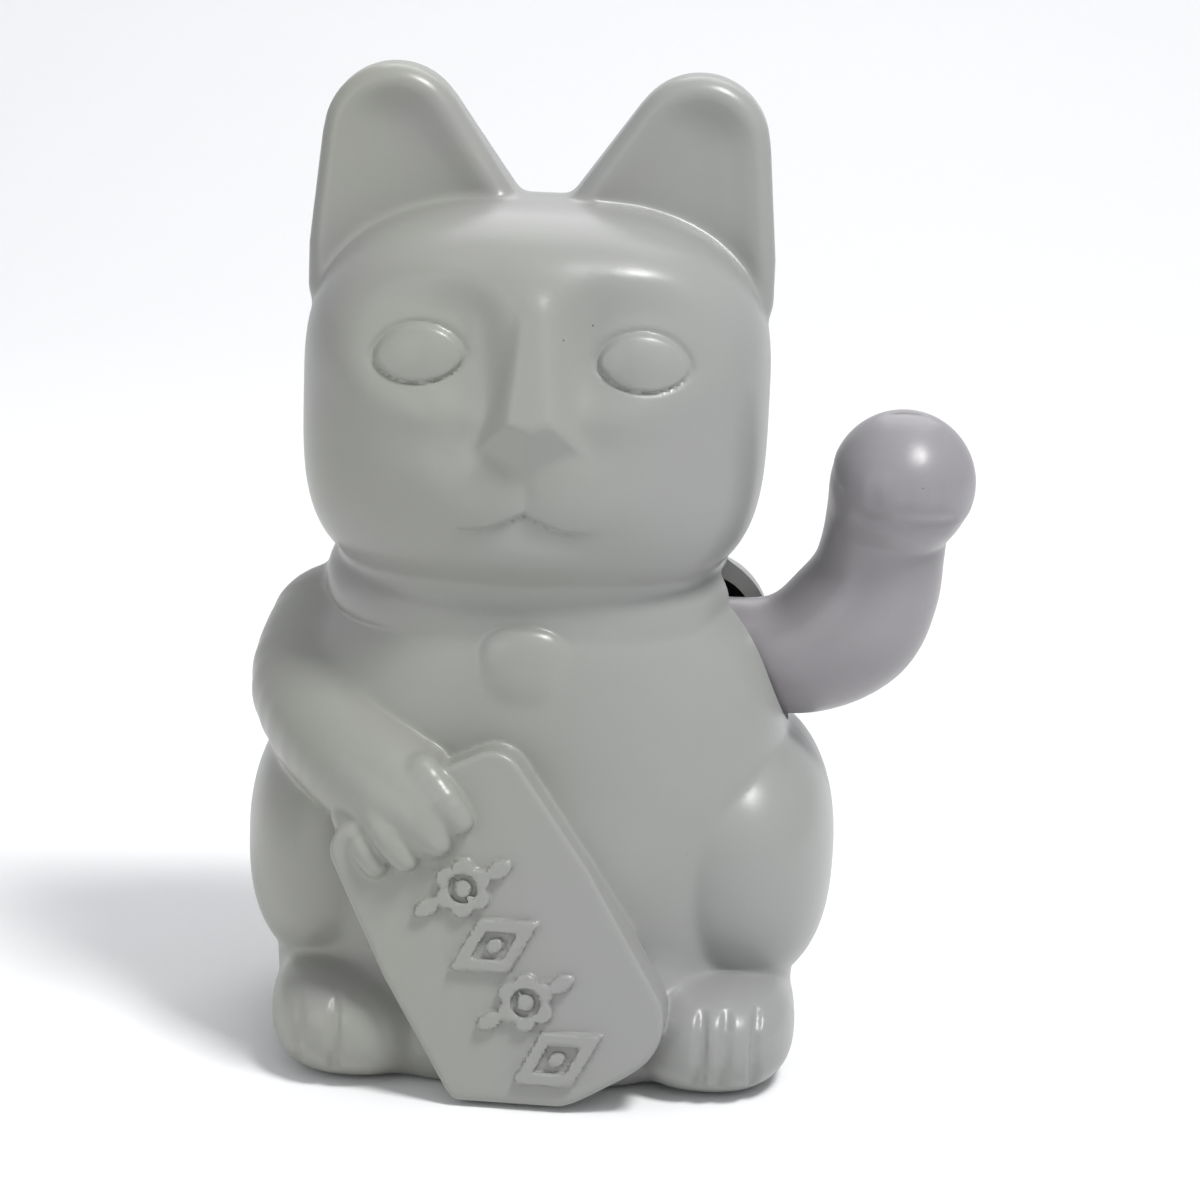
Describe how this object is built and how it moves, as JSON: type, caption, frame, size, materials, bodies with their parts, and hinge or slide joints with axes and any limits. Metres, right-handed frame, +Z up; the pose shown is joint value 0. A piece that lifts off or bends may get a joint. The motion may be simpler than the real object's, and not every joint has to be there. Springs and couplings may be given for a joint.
{
  "type": "beckoning cat figurine",
  "caption": "Seated beckoning cat with an oblong coin under one paw and a raised arm that swings on a battery-driven pendulum inside the hollow moulded body.",
  "frame": {"origin": "middle of the face that the figure rests on, in the table plane", "axes": "+Z up, the cat faces -Y, the raised left arm is on +X and the coin paw on -X"},
  "size_m": [0.11, 0.0844, 0.1499],
  "materials": {
    "casing": "satin moulded",
    "arm_casing": "satin moulded",
    "base_plastic": "fine texture",
    "pad": "closed-cell foam",
    "screw_steel": "zinc plated",
    "frame_plastic": "moulded",
    "bush_brass": "turned",
    "cell_jacket": "printed sleeve, plain bands",
    "contact_steel": "nickel plated",
    "board": "solder mask",
    "bobbin": "moulded",
    "copper_wire": "enamelled winding",
    "component_black": "moulded",
    "component_sleeve": "sleeved can",
    "component_tan": "lacquered",
    "red_wire": "insulated wire",
    "black_wire": "insulated wire",
    "yellow_wire": "insulated wire",
    "switch_can": "pressed tinplate",
    "switch_black": "moulded",
    "bright_steel": "ground",
    "magnet_nickel": "nickel plated"
  },
  "bodies": {
    "figure": {"front_shell": "casing", "rear_shell": "casing", "base_plate": "base_plastic", "base_pad": "pad", "base_screws": "screw_steel", "pivot_stand": "frame_plastic", "stand_screws": "screw_steel", "bush_left": "bush_brass", "bush_right": "bush_brass", "battery_cell": "cell_jacket", "contact_spring": "contact_steel", "contact_plate_minus": "contact_steel", "contact_plate_plus": "contact_steel", "circuit_board": "board", "board_screws": "screw_steel", "coil_bobbin": "bobbin", "drive_coil": "copper_wire", "transistor": "component_black", "capacitor": "component_sleeve", "resistors": "component_tan", "red_lead": "red_wire", "black_lead": "black_wire", "switch_lead": "yellow_wire", "switch_body": "switch_can"},
    "arm": {"arm_front_shell": "arm_casing", "arm_rear_shell": "arm_casing", "arm_hub": "frame_plastic", "hub_screw": "screw_steel", "pivot_axle": "bright_steel", "axle_clips": "bright_steel", "pendulum_lever": "frame_plastic", "pendulum_magnet": "magnet_nickel", "counterweight": "bright_steel"},
    "door": {"battery_door": "base_plastic"},
    "switch": {"switch_slider": "switch_black"}
  },
  "joints": [
    {"name": "arm_swing", "type": "hinge", "parent": "figure", "child": "arm", "pos_m": [0, 0, 0.061], "axis": [1, 0, 0], "range_deg": [-22, 22]},
    {"name": "door_hinge", "type": "hinge", "parent": "figure", "child": "door", "pos_m": [-0.025, 0, 0.002], "axis": [0, 1, 0], "range_deg": [0, 90]},
    {"name": "switch_slide", "type": "slide", "parent": "figure", "child": "switch", "axis": [1, 0, 0], "range_m": [0, 0.002]}
  ]
}
